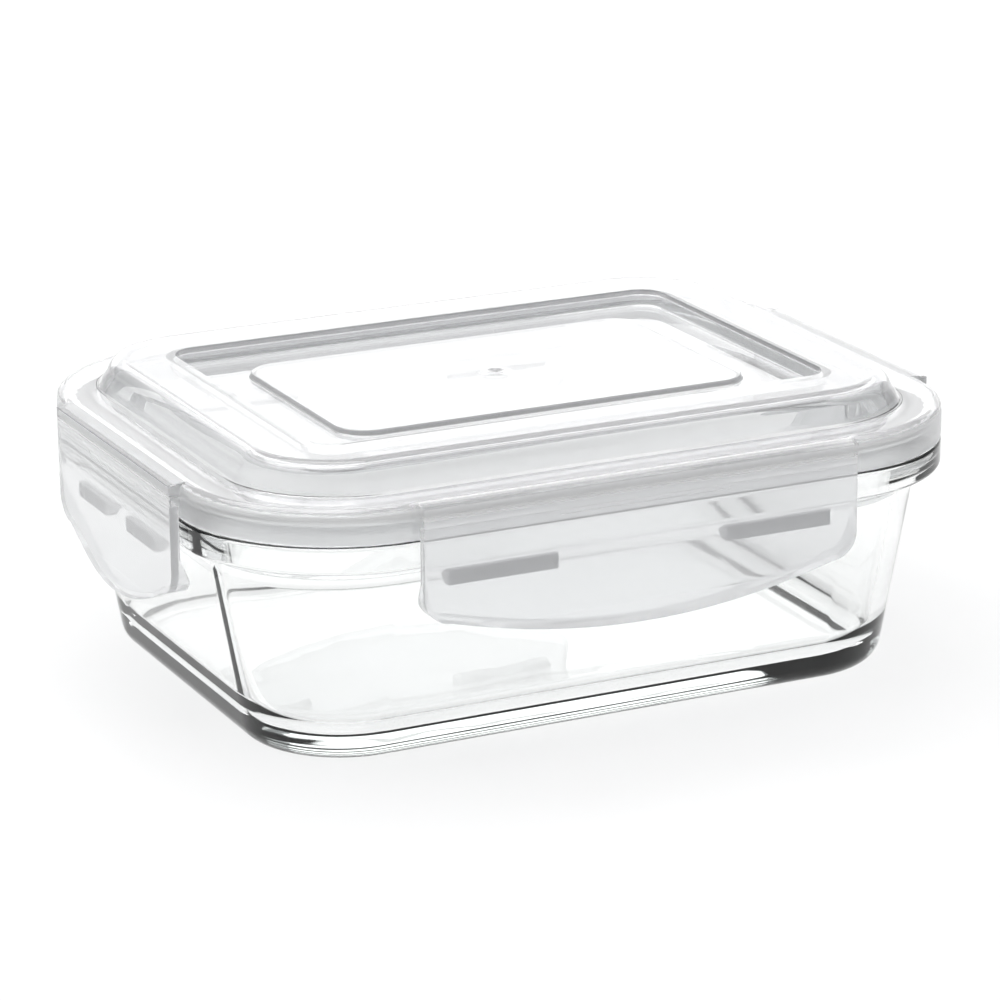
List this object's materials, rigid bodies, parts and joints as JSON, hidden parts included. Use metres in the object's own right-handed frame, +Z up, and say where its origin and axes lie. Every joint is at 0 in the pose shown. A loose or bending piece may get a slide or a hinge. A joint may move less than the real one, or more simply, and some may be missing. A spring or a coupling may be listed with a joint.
{
  "type": "snap lid food container",
  "caption": "Rectangular glass food dish with a clear domed lid, a seal inside it, and a hinged snap latch on each side.",
  "frame": {"origin": "middle of the base, on the surface it stands on", "axes": "+X along the long side, -Y to the front long latch, +Z up through the lid"},
  "size_m": [0.1862, 0.1476, 0.0668],
  "materials": {
    "glass": "clear pressed glass",
    "clear_plastic": "clear polypropylene, glossy",
    "latch_plastic": "slightly milky polypropylene",
    "lug_plastic": "thick, grey where seen through the latch",
    "silicone": "soft translucent white"
  },
  "bodies": {
    "dish": {"dish": "glass"},
    "lid": {"lid": "clear_plastic", "seal": "silicone"},
    "front_latch": {"front_latch": "latch_plastic", "front_lugs": "lug_plastic", "front_living_hinge": "latch_plastic"},
    "back_latch": {"back_latch": "latch_plastic", "back_lugs": "lug_plastic", "back_living_hinge": "latch_plastic"},
    "left_latch": {"left_latch": "latch_plastic", "left_lugs": "lug_plastic", "left_living_hinge": "latch_plastic"},
    "right_latch": {"right_latch": "latch_plastic", "right_lugs": "lug_plastic", "right_living_hinge": "latch_plastic"}
  },
  "joints": [
    {"name": "lid_lift", "type": "slide", "parent": "dish", "child": "lid", "axis": [0, 0, 1], "range_m": [0, 0.16]},
    {"name": "front_latch_hinge", "type": "hinge", "parent": "lid", "child": "front_latch", "pos_m": [0, -0.07315, 0.0561], "axis": [-1, 0, 0], "range_deg": [0, 150], "deforming": ["front_living_hinge"]},
    {"name": "back_latch_hinge", "type": "hinge", "parent": "lid", "child": "back_latch", "pos_m": [0, 0.07315, 0.0561], "axis": [1, 0, 0], "range_deg": [0, 150], "deforming": ["back_living_hinge"]},
    {"name": "left_latch_hinge", "type": "hinge", "parent": "lid", "child": "left_latch", "pos_m": [-0.0924, 0, 0.0561], "axis": [0, 1, 0], "range_deg": [0, 150], "deforming": ["left_living_hinge"]},
    {"name": "right_latch_hinge", "type": "hinge", "parent": "lid", "child": "right_latch", "pos_m": [0.0924, 0, 0.0561], "axis": [0, -1, 0], "range_deg": [0, 150], "deforming": ["right_living_hinge"]}
  ]
}
